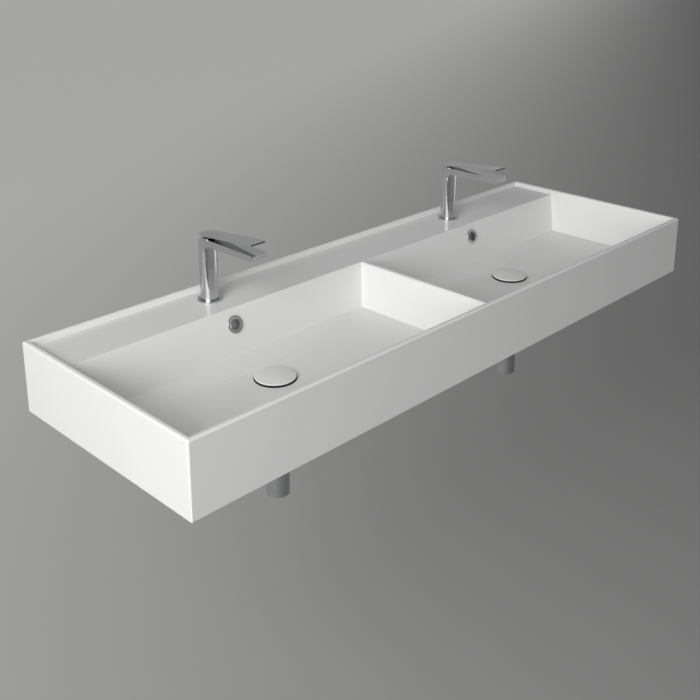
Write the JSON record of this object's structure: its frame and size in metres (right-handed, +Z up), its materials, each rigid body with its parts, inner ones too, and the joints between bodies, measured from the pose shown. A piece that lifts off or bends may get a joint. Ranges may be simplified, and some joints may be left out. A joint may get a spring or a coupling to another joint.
{
  "type": "double washbasin",
  "caption": "Wall-hung ceramic washbasin with twin rectangular bowls, each with a single-lever tap, an overflow, a domed waste cover and a slim bottle trap.",
  "frame": {"origin": "middle of the basin's back face, where it lies on the wall", "axes": "+X along the wall to the user's right, +Y into the wall, +Z up"},
  "size_m": [1.4, 0.49, 0.477],
  "materials": {
    "ceramic": "gloss",
    "chrome": "polished",
    "brass": "satin",
    "rubber": "matte",
    "plastic": "matte"
  },
  "bodies": {
    "basin": {"basin": "ceramic", "tap_gaskets": "rubber", "tap_studs": "brass", "clamp_seals": "rubber", "clamp_plates": "chrome", "stud_nuts": "brass", "waste_gaskets": "rubber", "waste_seals": "rubber", "trap_seals": "rubber", "overflow_seals": "rubber", "wall_flanges": "chrome", "left_foot_ring": "chrome", "left_tap_body": "chrome", "left_aerator": "chrome", "left_cartridge": "plastic", "left_cartridge_nut": "brass", "left_overflow_ring": "chrome", "left_click_guide": "plastic", "left_waste_body": "chrome", "left_waste_nut": "chrome", "left_inlet_nut": "chrome", "left_dip_tube": "chrome", "left_gland_nut": "chrome", "left_trap_head": "chrome", "left_trap_cup": "chrome", "left_outlet_nut": "chrome", "left_outlet_pipe": "chrome", "right_foot_ring": "chrome", "right_tap_body": "chrome", "right_aerator": "chrome", "right_cartridge": "plastic", "right_cartridge_nut": "brass", "right_overflow_ring": "chrome", "right_click_guide": "plastic", "right_waste_body": "chrome", "right_waste_nut": "chrome", "right_inlet_nut": "chrome", "right_dip_tube": "chrome", "right_gland_nut": "chrome", "right_trap_head": "chrome", "right_trap_cup": "chrome", "right_outlet_nut": "chrome", "right_outlet_pipe": "chrome"},
    "left_core": {"left_rotor": "plastic", "left_spindle_pin": "chrome"},
    "left_handle": {"left_lever": "chrome", "left_spindle": "brass", "left_lever_screw": "chrome"},
    "left_cover": {"left_waste_cover": "ceramic", "left_cover_carrier": "chrome", "left_cover_seal": "rubber"},
    "right_core": {"right_rotor": "plastic", "right_spindle_pin": "chrome"},
    "right_handle": {"right_lever": "chrome", "right_spindle": "brass", "right_lever_screw": "chrome"},
    "right_cover": {"right_waste_cover": "ceramic", "right_cover_carrier": "chrome", "right_cover_seal": "rubber"}
  },
  "joints": [
    {"name": "left_lever_turn", "type": "hinge", "parent": "basin", "child": "left_core", "pos_m": [-0.35, -0.058, 0.166], "axis": [0, 0, 1], "range_deg": [-45, 45]},
    {"name": "left_lever_lift", "type": "hinge", "parent": "left_core", "child": "left_handle", "pos_m": [-0.35, -0.058, 0.166], "axis": [-1, 0, 0], "range_deg": [0, 20]},
    {"name": "left_cover_lift", "type": "slide", "parent": "basin", "child": "left_cover", "axis": [0, 0, 1], "range_m": [0, 0.008]},
    {"name": "right_lever_turn", "type": "hinge", "parent": "basin", "child": "right_core", "pos_m": [0.35, -0.058, 0.166], "axis": [0, 0, 1], "range_deg": [-45, 45]},
    {"name": "right_lever_lift", "type": "hinge", "parent": "right_core", "child": "right_handle", "pos_m": [0.35, -0.058, 0.166], "axis": [-1, 0, 0], "range_deg": [0, 20]},
    {"name": "right_cover_lift", "type": "slide", "parent": "basin", "child": "right_cover", "axis": [0, 0, 1], "range_m": [0, 0.008]}
  ]
}
